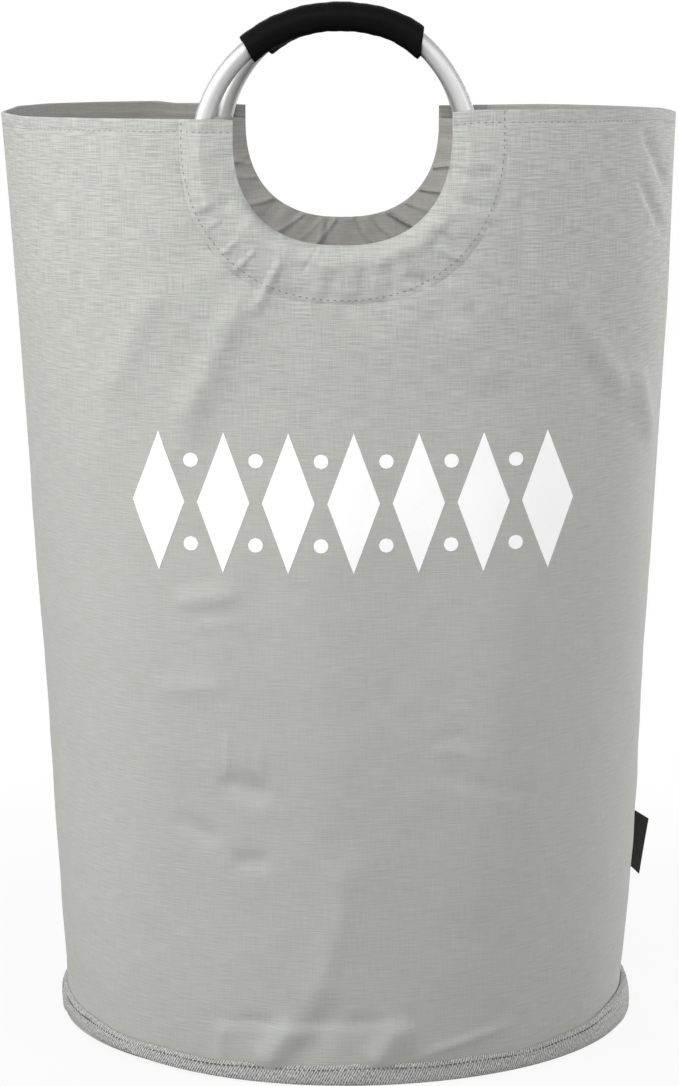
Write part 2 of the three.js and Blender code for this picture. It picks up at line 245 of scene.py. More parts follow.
# Folds seen in the photograph, in millimetres: start x and z, end x and z, half width, height
FRONT_CREASES = [
    (-40, 521, -53, 494, 3.2, 2.46),
    (-55, 529, -66, 517, 2.6, 1.48),
    (-66, 536, -75, 527, 2.6, 1.23),
    (-75, 548, -84, 543, 2.4, 0.99),
    (-82, 558, -91, 553, 2.4, 0.99),
    (-27, 517, -29, 503, 4.0, -1.23),
    (-6, 514, -7, 500, 4.5, -1.23),
    (12, 518, 14, 503, 3.8, -1.23),
    (29, 521, 31, 503, 4.2, -1.36),
    (38, 526, 52, 509, 4.2, -1.73),
    (55, 538, 73, 530, 4.2, -1.59),
    (70, 558, 89, 551, 4.2, -1.59),
    (75, 570, 94, 572, 3.6, -1.23),
    (-66, 493, -97, 426, 9, 2.9),
    (-90, 440, -125, 350, 14, 1.3),
    (-117, 506, -147, 440, 9, 2.1),
    (-138, 455, -168, 365, 14, 1.2),
    (41, 514, 52, 508, 3.2, -2.2),
    (60, 531, 74, 522, 2.6, 1.7),
    (82, 551, 95, 546, 2.6, 1.5),
    (66, 508, 78, 494, 3.6, 1.6),
    (82, 522, 97, 510, 3.0, 1.4),
    (-177, 543, -193, 487, 9, 1.23),
    (112, 580, 110, 502, 5, -0.8),
    (124, 578, 123, 511, 6, 0.7),
    (134, 508, 180, 432, 8, 4.6),
    (193, 565, 210, 533, 3.6, -3.2),
    (197, 593, 213, 562, 3.6, -3.2),
    (190, 444, 201, 401, 6, 4.0),
    (73, 484, 94, 447, 12, 1.97),
    (-104, 307, -68, 313, 6, 2.0),
    (-91, 292, -65, 295, 3.2, 0.86),
    (-116, 250, -75, 255, 5.5, 1.12),
    (-76, 194, -48, 187, 8, -2.6),
    (-72, 226, -73, 194, 2.4, 0.74),
    (-52, 216, -49, 192, 2.4, 0.74),
    (-105, 167, -80, 156, 5.5, -1.6),
    (-68, 143, -48, 142, 6, -1.9),
    (59, 213, 89, 210, 2.8, 1.12),
    (61, 223, 77, 222, 2.6, -0.86),
    (54, 200, 122, 181, 4.0, -0.86),
    (0, 140, -1, 105, 9, 1.48),
    (-1, 105, -17, 54, 9, 1.48),
    (-31, 39, -49, 12, 9, 4.4),
    (-6, 54, -20, 20, 9, -2.0),
    (38, 38, 20, 13, 9, 4.2),
    (-76, 34, -79, 9, 5, 1.48),
    (-73, 39, 36, 42, 4, -1.23),
    (52, 18, 103, 30, 3.5, 1.48),
    (-70, 340, -62, 40, 26, 1.8),
    (-10, 420, -12, 40, 40, 4.4),
    (104, 300, 100, 30, 30, 3.4),
]
# Folds guessed for the back, in the same way
BACK_CREASES = [
    (-190, 590, -205, 552, 4.5, 2.71),
    (-150, 530, -186, 470, 8.0, 2.46),
    (-66, 520, -84, 478, 7.0, 2.46),
    (34, 522, 60, 488, 3.4, 2.46),
    (62, 530, 76, 518, 2.8, 1.48),
    (-28, 517, -31, 502, 4.0, -1.23),
    (-4, 514, -3, 500, 4.4, -1.23),
    (-52, 536, -70, 528, 4.2, -1.48),
    (-72, 560, -92, 553, 4.0, -1.48),
    (118, 560, 150, 470, 9.0, 2.22),
    (176, 520, 192, 470, 8.0, 1.48),
    (-110, 300, -70, 290, 5.0, 1.23),
    (60, 240, 100, 228, 4.5, -1.23),
    (140, 440, 120, 300, 12.0, 1.73),
    (-90, 200, -70, 120, 10.0, 1.48),
    (30, 120, 18, 60, 9.0, 1.48),
    (-40, 38, -58, 14, 7.0, 2.71),
    (70, 38, 56, 14, 7.0, 2.46),
]
# How far the side seams, as seen from the front, stand out: heights and distances in millimetres
SEAM_PUSH = {
    -1: ([0, 60, 250, 360, 480, 560, 610], [-1.0, -2.4, -1.8, -0.3, 1.2, 2.6, 3.8]),
    1: ([0, 60, 250, 330, 480, 560, 610], [0, 0.2, 0.5, 1.4, 1.2, -0.5, -1.3]),
}
# The rim rises and dips between the corners, as cloth does: x and lift in millimetres, seen from that side
RIM = {
    "front": (
        [-224, -206, -184, -120, -78, -69, 69, 79, 89, 140, 176, 209, 218, 224],
        [0.5, -0.7, -0.2, 0.1, 0, -0.5, 4.4, 5.6, 6.2, 5.9, 5.5, 4.6, 2.2, 0.5],
    ),
    "back": (
        [-224, -217, -200, -140, -100, -70, 70, 100, 117, 130, 200, 217, 224],
        [0.5, 2.0, 1.9, 1.9, 0.9, 0.5, 1, 2.3, 2.4, 4.0, 3.9, 3.3, 0.5],
    ),
}
# Sharp folds of the lining: angle from the cut-out's foot in degrees, half width and height in millimetres
LINING_FOLDS = [
    (67, 1.6, 1.5),
    (59, 1.4, 1.1),
    (44, 1.5, 1.4),
    (25, 1.5, 1.3),
    (14, 1.3, 0.8),
    (6, 1.3, 1.4),
    (-8, 1.3, 2.0),
    (-18, 1.2, 1.6),
    (-29, 1.4, 4.4),
    (-40, 1.2, 1.5),
    (-51, 1.2, 2.6),
    (-65, 1.3, 2.6),
]


# Creases and folds of the cloth

def waves(u, v, length, seed, count=14, stretch=1.0):
    """Smooth unrepeating ripples, about -1 to 1 and of about the given length, longer along v by stretch."""
    random = np.random.default_rng(seed)
    total = np.zeros(np.broadcast(u, v).shape)
    for _ in range(count):
        turn = random.uniform(0, 2 * math.pi)
        k = 2 * math.pi / (length * random.uniform(0.7, 1.6))
        phase = random.uniform(0, 2 * math.pi)
        total = total + np.sin(k * (u * math.cos(turn) + v * math.sin(turn) / stretch) + phase)
    return total / math.sqrt(count / 2) / 1.6


def crease(x, z, row):
    """One long fold of the cloth, a ridge if its height is above 0 and a furrow if below."""
    x0, z0, x1, z1, width, height = np.array(row) / 1000
    along_x, along_z = x1 - x0, z1 - z0
    length = math.hypot(along_x, along_z)
    t = ((x - x0) * along_x + (z - z0) * along_z) / length**2
    off = ((x - x0) * along_z - (z - z0) * along_x) / length
    fade = 0.45
    taper = smooth((t + 0.25) / fade) * smooth((1.25 - t) / fade)
    return height * taper * bell(off / width)


def relief(side, share, x, z):
    """How far the wall's cloth stands out from its plain shape."""
    seed, creases = (11, FRONT_CREASES) if side == FRONT else (47, BACK_CREASES)
    u = share * HALF_GIRTH
    held = smooth((z - BINDING_HEIGHT) / 0.03)
    total = WAVE_HEIGHT * waves(u, z, WAVE_LENGTH, seed, stretch=1.7) * held
    total += RIPPLE_HEIGHT * waves(u, z, RIPPLE_LENGTH, seed + 1, count=20) * held
    for row in creases:
        total += crease(x, z, row)
    total += puckers(seed, x, z)
    total -= STITCH_SINK * bell((z - BODY_HEIGHT + STITCH_LINE_DROP) / 0.0011)
    seam = (1 - np.abs(share)) * HALF_GIRTH
    total = total * smooth(seam / 0.01) + swell(side, x, z) * smooth(seam / 0.05)
    return total - SEAM_SINK * held * bell(seam / 0.0022) - waist(share, z)


def waist(share, z):
    """How far the wall is drawn in just above the binding near the side seams."""
    depth = WAIST_DEPTH * smooth((np.abs(share) - 0.5) / 0.5)
    return depth * smooth((z - BINDING_HEIGHT + 0.001) / 0.005) * smooth((0.062 - z) / 0.04)


def seam_push(hand, z):
    heights, distances = SEAM_PUSH[hand]
    return np.interp(np.asarray(z) * 1000, heights, distances) / 1000


def sideways(side, share, z):
    """Sideways shift of the wall toward its side seams."""
    left, right = (-1, 1) if side == FRONT else (1, -1)
    shift = np.where(share < 0, -seam_push(left, z), seam_push(right, z))
    return shift * smooth((np.abs(share) - 0.45) / 0.5)


def swell(side, x, z):
    """The ring pushes the wall out all round its sleeve, most at the right of the front."""
    angle, outside = stitch_place(x, z)
    right = np.degrees(angle if side == FRONT else -angle)
    height = SWELL_HEIGHT + 0.0008 * smooth(right / 40) + SWELL_RIGHT * smooth((right - 46) / 40)
    return height * smooth(1 - outside / SWELL_REACH)


def puckers(seed, x, z):
    """Short gathers that the sleeve's stitches draw into the cloth on both sides of them."""
    angle, outside = stitch_place(x, z)
    along = angle * 0.1
    gather = waves(along, 0 * z, 0.013, seed + 2, count=18)
    wide = waves(along, 0 * z, 0.034, seed + 3, count=10)
    fade = np.where(outside > 0, np.exp(-outside / 0.012), np.exp(outside / 0.008))
    wide_fade = np.exp(-np.abs(outside) / 0.026)
    low = smooth((1.9 - np.abs(angle)) / 1.2)
    return low * (0.00036 * gather * fade + 0.0007 * wide * wide_fade) - 0.0001 * bell(outside / 0.0011)


def rim_shift(side, x, z):
    lift = np.interp(x * 1000, *RIM[side]) / 1000
    return lift * smooth((z - FOOT_HEIGHT) / (BODY_HEIGHT - FOOT_HEIGHT))


def wall_cloth(side, share, z, inset=0.0):
    """Points on the creased wall. inset goes into the cloth."""
    x, y = plain_wall(share, z)
    nx, ny = wall_normal(share, z)
    out = relief(side, share, x, z) - inset
    return stacked(x + nx * out + sideways(side, share, z), y + ny * out, z + rim_shift(side, x, z))


# Meshes

def linked(name, data):
    obj = bpy.data.objects.new(name, data)
    bpy.context.collection.objects.link(obj)
    return obj


def make_mesh(name, points, faces, uv, materials, slots=None, girth=None):
    """Smooth mesh piece. Where its uv runs right round, girth is the length of a round."""
    mesh = bpy.data.meshes.new(name)
    mesh.from_pydata([tuple(p) for p in np.reshape(points, (-1, 3))], [], faces)
    obj = linked(name, mesh)
    for material in materials:
        mesh.materials.append(material)
    if slots is not None:
        mesh.polygons.foreach_set("material_index", slots)
    corners = np.empty(len(mesh.loops), dtype=np.int32)
    mesh.loops.foreach_get("vertex_index", corners)
    spots = np.reshape(uv, (-1, 2)).astype(np.float32)[corners]
    if girth:
        runs = spots.reshape(-1, 4, 2)[..., 0]
        runs += girth * ((runs < girth / 2) & (np.ptp(runs, axis=1) > girth / 2)[:, None])
    mesh.uv_layers.new(name="cloth").data.foreach_set("uv", spots.ravel())
    mesh.polygons.foreach_set("use_smooth", np.ones(len(mesh.polygons), dtype=bool))
    face_out(mesh)
    mesh.set_sharp_from_angle(angle=math.radians(40))
    mesh.update()
    return obj


def face_out(mesh):
    shape = bmesh.new()
    shape.from_mesh(mesh)
    bmesh.ops.recalc_face_normals(shape, faces=shape.faces)
    shape.to_mesh(mesh)
    shape.free()


def grid_faces(rows, columns, offset=0, wrap=False):
    faces = []
    for row in range(offset, offset + (rows - 1) * columns, columns):
        for j in range(columns if wrap else columns - 1):
            a, b = row + j, row + (j + 1) % columns
            faces.append((a, b, b + columns, a + columns))
    return faces


def tube_faces(rows, sides, offset=0):
    """Faces of a closed round bar, with an end face at both ends."""
    last = offset + (rows - 1) * sides
    ends = [tuple(range(offset, offset + sides))[::-1], tuple(range(last, last + sides))]
    return grid_faces(rows, sides, offset, wrap=True) + ends


def shell(name, outer, inner, uv, outside, inside, wrap=False, girth=None):
    """Closed cloth between two grids of points, with one material on each face of it."""
    rows, columns = outer.shape[:2]
    count = rows * columns
    faces = grid_faces(rows, columns, wrap=wrap)
    out_count = len(faces)
    faces += [face[::-1] for face in grid_faces(rows, columns, count, wrap)]
    top = (rows - 1) * columns
    for j in range(columns if wrap else columns - 1):
        k = (j + 1) % columns
        faces.append((j, count + j, count + k, k))
        faces.append((top + j, top + k, count + top + k, count + top + j))
    for i in range(0 if wrap else rows - 1):
        a = i * columns
        b = a + columns - 1
        faces.append((a, a + columns, count + a + columns, count + a))
        faces.append((b, count + b, count + b + columns, b + columns))
    slots = np.zeros(len(faces), dtype=np.int32)
    slots[out_count:2 * out_count] = 1
    return make_mesh(name, (outer, inner), faces, (uv, uv), (outside, inside), slots, girth)


def placed(obj, side):
    """Turns a piece made at the front half round, if it belongs to the back."""
    if side == BACK:
        obj.data.transform(Matrix.Diagonal((*HALF_ROUND, 1)))
        obj.data.update()
    return obj


def full_turn(count):
    return np.linspace(0, 2 * math.pi, count, endpoint=False)


def path_length(path):
    """Length of a line of points up to each of them."""
    return np.concatenate([[0], np.cumsum(np.linalg.norm(np.diff(path, axis=0), axis=1))])


def round_points(radius, turn, z):
    """Points round the base, turn 0 at the front and growing to the right."""
    return stacked(radius * np.sin(turn), -radius * np.cos(turn), z)


def joined(pieces, name):
    bpy.ops.object.select_all(action="DESELECT")
    for piece in pieces:
        piece.select_set(True)
    bpy.context.view_layer.objects.active = pieces[0]
    bpy.ops.object.join()
    pieces[0].name = name
    return pieces[0]


# Materials

def new_material(name, colour, roughness, gloss=0.5, metallic=0.0):
    material = bpy.data.materials.new(name)
    material.use_nodes = True
    inputs = material.node_tree.nodes["Principled BSDF"].inputs
    inputs["Base Color"].default_value = (*colour, 1)
    for key, value in (("Roughness", roughness), ("Specular IOR Level", gloss), ("Metallic", metallic)):
        inputs[key].default_value = value
    return material


def node(owner, kind, inputs, output=0, **settings):
    """Output of a new shader node. An input is a value or another node's output."""
    made = owner.node_tree.nodes.new(kind)
    for key, value in settings.items():
        setattr(made, key, value)
    for key, value in inputs.items():
        if hasattr(value, "links"):
            owner.node_tree.links.new(value, made.inputs[key])
        else:
            made.inputs[key].default_value = value
    return made.outputs[output]


def maths(owner, operation, a, b, clamp=False):
    return node(owner, "ShaderNodeMath", {0: a, 1: b}, operation=operation, use_clamp=clamp)


def weighted_sum(material, *terms):
    """Sum of textures, each given with its weight."""
    total = 0.0
    for texture, weight in terms:
        total = node(material, "ShaderNodeMath", {0: texture, 1: weight, 2: total}, operation="MULTIPLY_ADD")
    return total


def cloth_place(material):
    return node(material, "ShaderNodeUVMap", {}, uv_map="cloth")


def streaks(material, place, scale, detail=2.0, roughness=0.5):
    """Noise drawn out along one direction by its scale, for threads."""
    mapped = node(material, "ShaderNodeMapping", {"Vector": place, "Scale": (*scale, 1)})
    inputs = {"Vector": mapped, "Scale": 1.0, "Detail": detail, "Roughness": roughness}
    return node(material, "ShaderNodeTexNoise", inputs, "Fac")


def dress(material, colour, tone, tone_shares, height, strength, depth, rough=None):
    """Gives a material its two tones, its bumps and its range of roughness from textures."""
    dark, light = ((*[c * share for c in colour], 1) for share in tone_shares)
    tones = {"Factor": tone, "A": dark, "B": light}
    bumps = {"Height": height, "Strength": strength, "Distance": depth}
    made = {
        "Base Color": node(material, "ShaderNodeMix", tones, "Result", data_type="RGBA"),
        "Normal": node(material, "ShaderNodeBump", bumps),
    }
    if rough:
        ends = {"Value": tone, "To Min": rough[0], "To Max": rough[1]}
        made["Roughness"] = node(material, "ShaderNodeMapRange", ends)
    tree = material.node_tree
    for key, output in made.items():
        tree.links.new(output, tree.nodes["Principled BSDF"].inputs[key])
    return material


def weave_material(name, colour, contrast, roughness, bump, threads=(1300, 60)):
    """Plain weave of uneven threads: threads are its streaks to the metre across and along them."""
    material = new_material(name, colour, roughness, gloss=0.2)
    place = cloth_place(material)
    fine, long = threads
    weft = streaks(material, place, (long, fine))
    warp = streaks(material, place, (fine, long))
    grain = streaks(material, place, (1900, 1900), 1.0)
    both = weighted_sum(material, (weft, 1.5), (warp, 0.8), (grain, 0.5))
    height = node(material, "ShaderNodeSeparateXYZ", {"Vector": place}, "Y")
    coarser_up = {"Value": height, "From Min": 0.35, "From Max": 0.58, "To Min": 0.75, "To Max": 2.6}
    coarse = node(material, "ShaderNodeMapRange", coarser_up)
    spread = maths(material, "MULTIPLY", maths(material, "SUBTRACT", both, 1.4), coarse)
    tone = maths(material, "ADD", spread, 0.5, clamp=True)
    return dress(material, colour, tone, (1 - contrast, 1 + contrast), both, bump, 0.0005)


def tape_material(name, colour):
    """Narrow woven tape with slanting ribs."""
    material = new_material(name, colour, 0.9)
    place = cloth_place(material)
    turned = node(material, "ShaderNodeMapping", {"Vector": place, "Rotation": (0, 0, math.radians(28))})
    inputs = {"Vector": turned, "Scale": 210.0, "Distortion": 1.2, "Detail": 2.0, "Detail Scale": 3.0}
    ribs = node(material, "ShaderNodeTexWave", inputs, "Fac", wave_type="BANDS", bands_direction="X")
    fleck = streaks(material, place, (900, 500))
    both = weighted_sum(material, (ribs, 0.7), (fleck, 1.5))
    tone = maths(material, "SUBTRACT", both, 0.6, clamp=True)
    return dress(material, colour, tone, (0.28, 1.65), tone, 0.8, 0.0006)


def grained_material(name, colour, roughness, scale, bump, spread=0.15, gloss=0.5):
    """Even surface with fine grain in its colour, roughness and height."""
    material = new_material(name, colour, roughness, gloss)
    place = node(material, "ShaderNodeTexCoord", {}, "Object")
    grain = node(material, "ShaderNodeTexNoise", {"Vector": place, "Scale": scale, "Detail": 4.0}, "Fac")
    rough = (roughness * 0.85, roughness * 1.15)
    return dress(material, colour, grain, (1 - spread, 1 + spread), grain, bump, 0.0003, rough)


def brushed_metal(name, colour, roughness, spread=0.12):
    """Satin metal with fine streaks along the tube in its colour, roughness and height."""
    material = new_material(name, colour, roughness, gloss=0.3, metallic=0.7)
    brush = streaks(material, cloth_place(material), (900, 14), 3.0, 0.6)
    rough = (roughness * 0.75, roughness * 1.2)
    return dress(material, colour, brush, (1 - spread, 1 + spread), brush, 0.15, 0.0003, rough)


cloth_material = weave_material("hamper_cloth", (0.418, 0.423, 0.397), 0.15, 0.9, 0.3)
# Inside faces of the cloth: smoother, with a fainter weave, and darker than the outside cloth as painted
# shade of the bag's inside.
shaded_lining_material = weave_material("hamper_lining_painted_shade", (0.335, 0.33, 0.308), 0.09, 0.8, 0.2)
label_material = weave_material("label_tape", (0.022, 0.022, 0.021), 0.4, 0.6, 0.4, (1500, 200))
binding_material = tape_material("binding_tape", (0.40, 0.40, 0.39))
metal_material = brushed_metal("satin_aluminium", (0.405, 0.405, 0.405), 0.5)
foam_material = grained_material("grip_foam", (0.004, 0.004, 0.004), 0.5, 1400, 0.25, 0.3, gloss=0.03)
board_material = grained_material("base_board", (0.27, 0.27, 0.26), 0.7, 500, 0.2)
# Thread darker than the cloth: the darkness is painted shade of the needle holes along the stitches.
shaded_thread_material = grained_material("sewing_thread_painted_shade", (0.27, 0.27, 0.26), 0.7, 3000, 0.3)
dark_thread_material = grained_material("binding_thread", (0.10, 0.10, 0.10), 0.7, 3000, 0.3)
# Thread of the sleeve's stitches, darker than the other thread as painted shadow in the furrow of the stitch
# line.
shadowed_seam_thread_material = grained_material("seam_thread_painted_shadow", (0.22, 0.22, 0.21), 0.7, 3000, 0.3)
print_material = grained_material("white_print", (0.94, 0.94, 0.94), 0.6, 700, 0.12, 0.03)


# Wall pieces

def cloth_piece(side, name, outer, inner, uv, outside=cloth_material):
    return placed(shell(f"{side}_{name}", outer, inner, uv, outside, shaded_lining_material), side)


def wall_piece(side, name, share, z, outer_inset, inner_inset):
    outer = wall_cloth(side, share, z, outer_inset)
    inner = wall_cloth(side, share, z, inner_inset)
    return cloth_piece(side, name, outer, inner, stacked(share * HALF_GIRTH, z))


def lower_wall(side):
    """The wall below the sleeves."""
    fine = np.linspace(BINDING_HEIGHT, 0.040, FOOT_ROWS)
    z = np.concatenate([[0.0021], fine, np.linspace(0.043, FOOT_HEIGHT, WALL_ROWS)])
    share, z = np.meshgrid(np.linspace(-1, 1, 2 * HALF_COLUMNS + 1), z)
    return wall_piece(side, "wall_cloth", share, z, 0.0, CLOTH)


def u_point(half_width, depth, turn):
    """Point of the round foot of a U in the sleeve's plane: turn 0 at its foot, 90 degrees at its right."""
    power = 2 / U_SQUARENESS
    x = half_width * np.sign(np.sin(turn)) * np.abs(np.sin(turn)) ** power
    v = CUTOUT_CENTRE - depth * np.abs(np.cos(turn)) ** power
    return x, v


def u_stations(half_width, depth, top=SLEEVE_HEIGHT):
    """Points along a U from its left mouth to its right mouth."""
    x, v = u_point(half_width, depth, np.linspace(-math.pi / 2, math.pi / 2, U_STEPS + 1))
    arm_x = np.full(SIDE_STEPS, half_width)
    arm_v = np.linspace(top, CUTOUT_CENTRE, SIDE_STEPS, endpoint=False)
    return np.concatenate([-arm_x, x, arm_x]), np.concatenate([arm_v, v, arm_v[::-1]])


def top_wall(side, word):
    """The wall beside a sleeve, from the sleeve's edge to the side seam."""
    xs, vs = u_stations(STITCH_HALF_WIDTH, STITCH_DEPTH)
    half = len(xs) // 2
    edge_x, z = xs[half:], FOOT_HEIGHT + vs[half:] * math.cos(TOP_LEAN)
    crown_heights = [BODY_HEIGHT - 0.0009, BODY_HEIGHT - 0.0003, BODY_HEIGHT]
    rows = np.union1d(z, [HEM_START, HEM_START + 0.0004, *crown_heights[:2]])
    edge_x = np.concatenate([[0, 0, 0], np.interp(rows, z, edge_x)])
    z = np.concatenate([[FOOT_HEIGHT - TUCK, FOOT_HEIGHT - TUCK / 2, FOOT_HEIGHT - 0.0001], rows])
    tucked = np.where(z < FOOT_HEIGHT - 0.00005, CLOTH + SEAM_GAP, 0.0)[:, None]
    edge_share = share_at(edge_x, z)[:, None]
    share = HANDS[word] * (edge_share + (1 - edge_share) * np.linspace(0, 1, HALF_COLUMNS + 1))
    z = np.broadcast_to(z[:, None], share.shape)
    crown = np.interp(z, crown_heights, [0, 0.0003, 0.0008])
    thick = np.where(z > HEM_START + 0.0002, 2 * CLOTH + SEAM_GAP, CLOTH)
    return wall_piece(side, f"{word}_top_cloth", share, z, tucked + crown, tucked + thick - crown)


# Sleeves

def drape(d, to_edge, raised):
    """Height of cloth from the tube, whose middle is at distance d, to an edge raised so much."""
    radius = TUBE_RADIUS + SLEEVE_EASE
    reach = np.maximum(to_edge, radius)
    turn = np.arctan2(raised, reach) + np.arccos(np.clip(radius / np.hypot(reach, raised), -1, 1))
    tangent = radius * np.cos(turn)
    on_tube = np.sqrt(np.clip(radius**2 - d**2, 0, None))
    way = np.clip((reach - d) / np.maximum(reach - tangent, SEAM_GAP), 0, 1)
    straight = raised + (radius * np.sin(turn) - raised) * way
    return np.where(d <= tangent, on_tube, straight)


def edge_height(v):
    """How far the cut-out's edge stands out of the sleeve's plane, more and more up its sides."""
    return EDGE_STAND * smooth((v - 0.040) / 0.05)


def padded_edge(off, to_tube, turn):
    """Height of the outer layer between the cut-out and the tube: it rolls over its turned-in edge."""
    high = EDGE_PADDING * smooth((82 - np.abs(turn)) / 40)
    roll = high * np.sqrt(np.clip(1 - (1 - np.clip(off / EDGE_ROLL, 0, 1)) ** 2, 0, 1))
    way = np.clip((off - EDGE_ROLL) / np.maximum(to_tube - EDGE_ROLL, SEAM_GAP), 0, 1)
    down = lerp(high, np.minimum(high, TUBE_RADIUS + SLEEVE_EASE), way)
    return np.where(off < EDGE_ROLL, roll, np.where(off < to_tube, down, 0))


def tube_crossing(side, edge_x, edge_v, way_x, way_v):
    """Share of the way from the cut-out to the sleeve's edge at which the ring's centre line crosses."""
    from_x, from_v = edge_x - SLIP[side], edge_v - RING_CENTRE
    a = way_x**2 + way_v**2
    b = from_x * way_x + from_v * way_v
    c = from_x**2 + from_v**2 - RING_RADIUS**2
    return (np.sqrt(np.clip(b**2 - a * c, 0, None)) - b) / a


def across(near):
    """Shares across the sleeve for each station, closer together towards both edges."""
    quarter = np.sin(np.linspace(0, math.pi / 2, ACROSS_STEPS // 2 + 1))
    return np.concatenate([near * (1 - quarter[::-1]), near + (1 - near) * quarter[1:]], axis=1)


def layer_height(face, s, near, width, edge_v, turn, raised, outward):
    """Height of a layer over the sleeve's plane, without its folds."""
    to_edge = np.where(s < near, near, 1 - near) * width
    held = np.minimum(raised, 0.9 * TUBE_RADIUS)
    ends = face * np.where(s < near, edge_height(edge_v), held)
    height = drape(np.abs(s - near) * width, to_edge, ends) + face * (raised - held) * outward
    if face > 0:
        height = np.maximum(height, padded_edge(s * width, near * width, turn))
    return height


def sleeve_layer(side, face, top=SLEEVE_HEIGHT):
    """The two surfaces of one layer of a sleeve and its uv: face 1 outside the tube, -1 inside it."""
    edge_x, edge_v = (a[:, None] for a in u_stations(CUTOUT_RADIUS, CUTOUT_RADIUS, top))
    stitch_x, stitch_v = (a[:, None] for a in u_stations(STITCH_HALF_WIDTH, STITCH_DEPTH, top))
    way_x, way_v = stitch_x - edge_x, stitch_v - edge_v
    near = tube_crossing(side, edge_x, edge_v, way_x, way_v)
    s = across(near)
    px, pv = edge_x + way_x * s, edge_v + way_v * s
    width = np.hypot(way_x, way_v)
    z = FOOT_HEIGHT + pv * math.cos(TOP_LEAN)
    outward = np.clip((s - near) / (1 - near), 0, 1) ** 1.7
    turn = np.degrees(np.arctan2(edge_x, CUTOUT_CENTRE - edge_v))
    raised = swell(side, px, z)
    out = layer_height(face, s, near, width, edge_v, turn, raised, outward)
    along = np.cumsum(np.hypot(*(np.diff(a[:, -1], prepend=a[0, -1]) for a in (px, pv))))
    folds = gathers(side, face, along[:, None] + 0 * s, s * width, width, turn)
    share = share_at(px, z)
    depth = 2 * LAYER_OFFSET
    if face > 0:
        depth = 0.0
        folds = folds * smooth((1 - s) / 0.15)
        from_seam = (1 - np.abs(share)) * HALF_GIRTH
        folds = folds + relief(side, share, px, z) - raised * smooth(from_seam / 0.05)
        from_tube = np.clip(np.abs(s - near) * width - TUBE_RADIUS, 0, None)
        folds = np.maximum(folds, -0.0009 - 0.6 * from_tube)
    out = out + folds
    plane_y = -FOOT_HALF_DEPTH + pv * math.sin(TOP_LEAN)
    base_y = plane_y + (plain_wall(share, z)[1] - plane_y) * outward
    nx, ny = wall_normal(share, z)
    x = px + (nx * out * outward if face > 0 else 0)
    y = base_y + depth - face * out * lerp(1, -ny, outward)
    z = z + rim_shift(side, px, z)
    return stacked(x, y, z), stacked(x, y + face * CLOTH, z), stacked(share * HALF_GIRTH, z)


def gathers(side, face, along, off, width, turn):
    """Folds across the sleeve where the cloth is drawn in round the curve, strongest at the cut-out."""
    seed = (5 if face > 0 else 23) + (0 if side == FRONT else 60)
    count, highest, ripple = (9, 0.0009, 0.0002) if face > 0 else (6, 0.0012, 0.0005)
    random = np.random.default_rng(seed)
    length = along.max()
    total = np.zeros(np.broadcast(along, off).shape)
    if face < 0:
        for angle, half, height in LINING_FOLDS:
            slant = 0.55 * math.copysign(1, angle)
            distance = np.radians(turn - angle) * CUTOUT_RADIUS - slant * (off - 0.006)
            total += height / 1000 * bell(distance * 1000 / half)
    for _ in range(count):
        place = random.uniform(0.03, 0.97) * length
        slant = random.uniform(-0.5, 0.5)
        half = random.uniform(0.0016, 0.0045)
        height = random.uniform(0.3, 1.0) * highest * random.choice([-1, 1])
        reach = random.uniform(0.35, 1.1)
        distance = along - place - slant * (off - width / 2)
        total += height * bell(distance / half) * smooth((reach - off / width) / 0.4)
    total += ripple * waves(along, off, 0.018, seed + 1, stretch=3)
    return np.clip(total, -0.0007, None) * smooth(off / 0.0015)


def sleeve(side):
    return cloth_piece(side, "sleeve_cloth", *sleeve_layer(side, 1))


def sleeve_lining(side):
    layer = sleeve_layer(side, -1, SLEEVE_HEIGHT - LINING_DROP)
    return cloth_piece(side, "lining_cloth", *layer, shaded_lining_material)


# Rings and grips

def in_sleeve(x, y, up):
    """Place in the leaning sleeve of a point given in the ring's plane."""
    up = up + RING_CENTRE
    c, s = math.cos(TOP_LEAN), math.sin(TOP_LEAN)
    return x, y * c + up * s + LAYER_OFFSET - FOOT_HALF_DEPTH, up * c - y * s + FOOT_HEIGHT


def ring_point(side, angle, out=0.0, off=0.0):
    """Point beside the ring's centre line at an angle from its top: out from its centre, off its plane."""
    from_shoulder = (math.remainder(angle, 2 * math.pi) - math.radians(32)) / math.radians(20)
    radius = RING_RADIUS + out + RING_BUMP[side] * math.exp(-(from_shoulder**2))
    turned = angle + TURN[side]
    return in_sleeve(SLIP[side] + radius * math.sin(turned), off, radius * math.cos(turned))


def ring(side):
    """Tube bent to a ring, its two ends a little apart at the top, under the grip."""
    gap = 0.0003 / RING_RADIUS
    angles = np.linspace(gap, 2 * math.pi - gap, RING_STEPS + 1)
    path = np.array([ring_point(side, angle) for angle in angles])
    ahead = np.gradient(path, axis=0)
    ahead /= np.linalg.norm(ahead, axis=1)[:, None]
    off_plane = np.cross(path[1] - path[0], path[-1] - path[0])
    off_plane /= np.linalg.norm(off_plane)
    turns = full_turn(TUBE_SIDES)
    beside = np.cos(turns)[:, None] * np.cross(ahead, off_plane)[:, None]
    points = path[:, None] + TUBE_RADIUS * (beside + np.sin(turns)[:, None] * off_plane)
    uv = stacked(turns / (2 * math.pi) * 0.038, path_length(path)[:, None])
    faces = tube_faces(len(path), TUBE_SIDES)
    return placed(make_mesh(f"{side}_ring_tube", points, faces, uv, (metal_material,)), side)


# How far the left and right end of each grip are cut askew, from underside to top
GRIP_SKEW = {"front": (math.radians(1.9), math.radians(-6)), "back": (math.radians(2), math.radians(1))}
# Stations near a grip's end, and how its radius changes there
GRIP_END_SHARES = np.array([-1, -0.999, -0.994, -0.985, -0.965])
GRIP_ROUNDING = np.array([-0.0009, -0.0004, -0.00012, 0, 0.0001])


